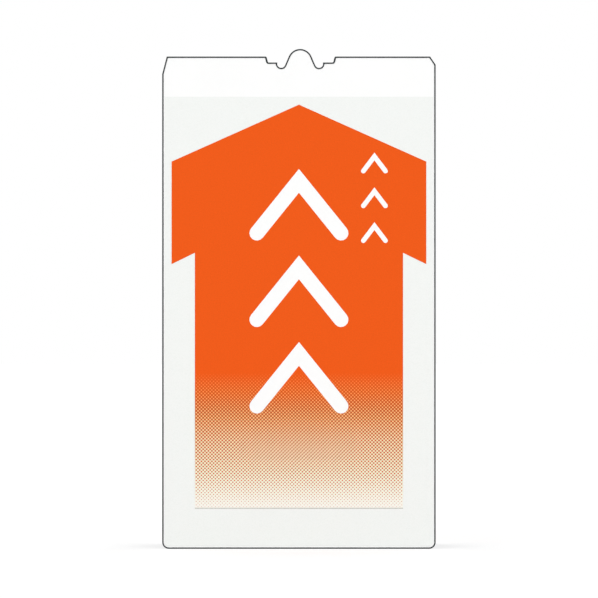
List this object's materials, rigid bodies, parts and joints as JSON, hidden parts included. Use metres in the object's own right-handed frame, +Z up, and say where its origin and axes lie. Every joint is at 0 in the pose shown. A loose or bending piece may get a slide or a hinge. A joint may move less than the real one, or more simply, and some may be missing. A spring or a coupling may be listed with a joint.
{
  "type": "cone-mounted sign",
  "caption": "Upright sign with two hinged boards back to back on a bridge whose collar drops over a traffic cone's tip; each board carries a large fading arrow.",
  "frame": {"origin": "centre of the collar liner's lower mouth, where the cone enters", "axes": "+Z up along the cone's axis, front board faces -Y, +X to the right of someone who looks at the front board"},
  "size_m": [0.275, 0.104, 0.5026],
  "materials": {
    "slate_plastic": "fine moulded grain",
    "white_plastic": "smooth moulded",
    "reflective_sheet": "retroreflective sheeting with a smooth face",
    "white_film": "smooth film",
    "orange_film": "smooth printed film",
    "zinc_steel": "zinc plated",
    "black_rubber": "matt moulded"
  },
  "bodies": {
    "bridge": {"cone_bridge": "slate_plastic", "collar_liner": "black_rubber", "front_left_hinge_pin": "zinc_steel", "front_left_pin_clip": "zinc_steel", "front_right_hinge_pin": "zinc_steel", "front_right_pin_clip": "zinc_steel", "rear_left_hinge_pin": "zinc_steel", "rear_left_pin_clip": "zinc_steel", "rear_right_hinge_pin": "zinc_steel", "rear_right_pin_clip": "zinc_steel"},
    "front_board": {"front_shell": "slate_plastic", "front_face_panel": "white_plastic", "front_reflective_sheet": "reflective_sheet", "front_arrow_base": "white_film", "front_arrow_overlay": "orange_film", "front_panel_screw_1": "zinc_steel", "front_panel_screw_2": "zinc_steel", "front_panel_screw_3": "zinc_steel", "front_panel_screw_4": "zinc_steel", "front_panel_screw_5": "zinc_steel", "front_panel_screw_6": "zinc_steel", "front_panel_screw_7": "zinc_steel", "front_panel_screw_8": "zinc_steel", "front_left_rest_pad": "black_rubber", "front_right_rest_pad": "black_rubber"},
    "rear_board": {"rear_shell": "slate_plastic", "rear_face_panel": "white_plastic", "rear_reflective_sheet": "reflective_sheet", "rear_arrow_base": "white_film", "rear_arrow_overlay": "orange_film", "rear_panel_screw_1": "zinc_steel", "rear_panel_screw_2": "zinc_steel", "rear_panel_screw_3": "zinc_steel", "rear_panel_screw_4": "zinc_steel", "rear_panel_screw_5": "zinc_steel", "rear_panel_screw_6": "zinc_steel", "rear_panel_screw_7": "zinc_steel", "rear_panel_screw_8": "zinc_steel", "rear_left_rest_pad": "black_rubber", "rear_right_rest_pad": "black_rubber"}
  },
  "joints": [
    {"name": "front_board_hinge", "type": "hinge", "parent": "bridge", "child": "front_board", "pos_m": [0, -0.0424, 0.028], "axis": [-1, 0, 0], "range_deg": [0, 90]},
    {"name": "rear_board_hinge", "type": "hinge", "parent": "bridge", "child": "rear_board", "pos_m": [0, 0.0424, 0.028], "axis": [1, 0, 0], "range_deg": [0, 90]}
  ]
}
